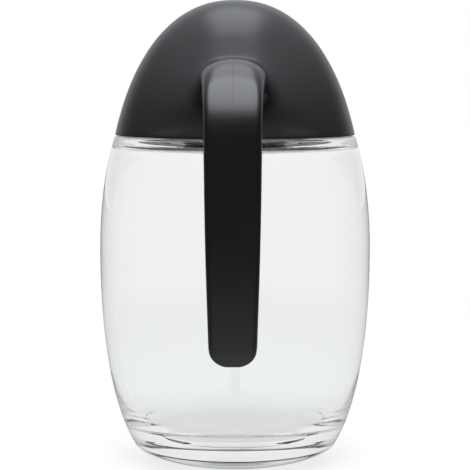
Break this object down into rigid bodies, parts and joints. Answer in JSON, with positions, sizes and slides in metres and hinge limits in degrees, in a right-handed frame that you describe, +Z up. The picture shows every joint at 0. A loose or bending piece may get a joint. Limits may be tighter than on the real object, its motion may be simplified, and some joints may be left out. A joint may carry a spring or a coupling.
{
  "type": "oil cruet",
  "caption": "Glass oil cruet with a domed screw cap that carries an arched handle, a pouring spout and a weighted flap that shuts it.",
  "frame": {"origin": "centre of the bottle's flat foot, on the surface that the cruet stands on", "axes": "+Z up along the bottle's axis, the handle towards -Y, the spout and its flap towards +Y, +X across"},
  "size_m": [0.094, 0.129, 0.16],
  "materials": {
    "glass": "clear and glossy, with a faint green-grey tint in the thick floor",
    "charcoal_plastic": "satin charcoal moulding",
    "inner_plastic": "black moulding, smooth",
    "silicone": "dull black silicone",
    "steel": "turned stainless steel"
  },
  "bodies": {
    "glass": {"glass_bottle": "glass"},
    "seal": {"neck_gasket": "silicone"},
    "cap": {"inner_cap": "inner_plastic", "dome_with_handle": "charcoal_plastic", "pour_spout": "inner_plastic", "spout_grommet": "silicone", "vent_tube": "inner_plastic", "vent_valve": "silicone", "hinge_pin": "steel"},
    "flap": {"spout_flap": "charcoal_plastic", "flap_pad": "silicone", "flap_weight": "steel"}
  },
  "joints": [
    {"name": "cap_lift", "type": "slide", "parent": "glass", "child": "seal", "axis": [0, 0, 1], "range_m": [0, 0.012]},
    {"name": "cap_turn", "type": "hinge", "parent": "seal", "child": "cap", "pos_m": [0, 0, 0.118], "axis": [0, 0, 1], "range_deg": [0, 360]},
    {"name": "flap_swing", "type": "hinge", "parent": "cap", "child": "flap", "pos_m": [0, 0.02398, 0.14355], "axis": [1, 0, 0], "range_deg": [0, 45]}
  ],
  "couplings": [
    {"joint": "cap_lift", "follows": "cap_turn", "m_per_rad": 0.0019098}
  ]
}
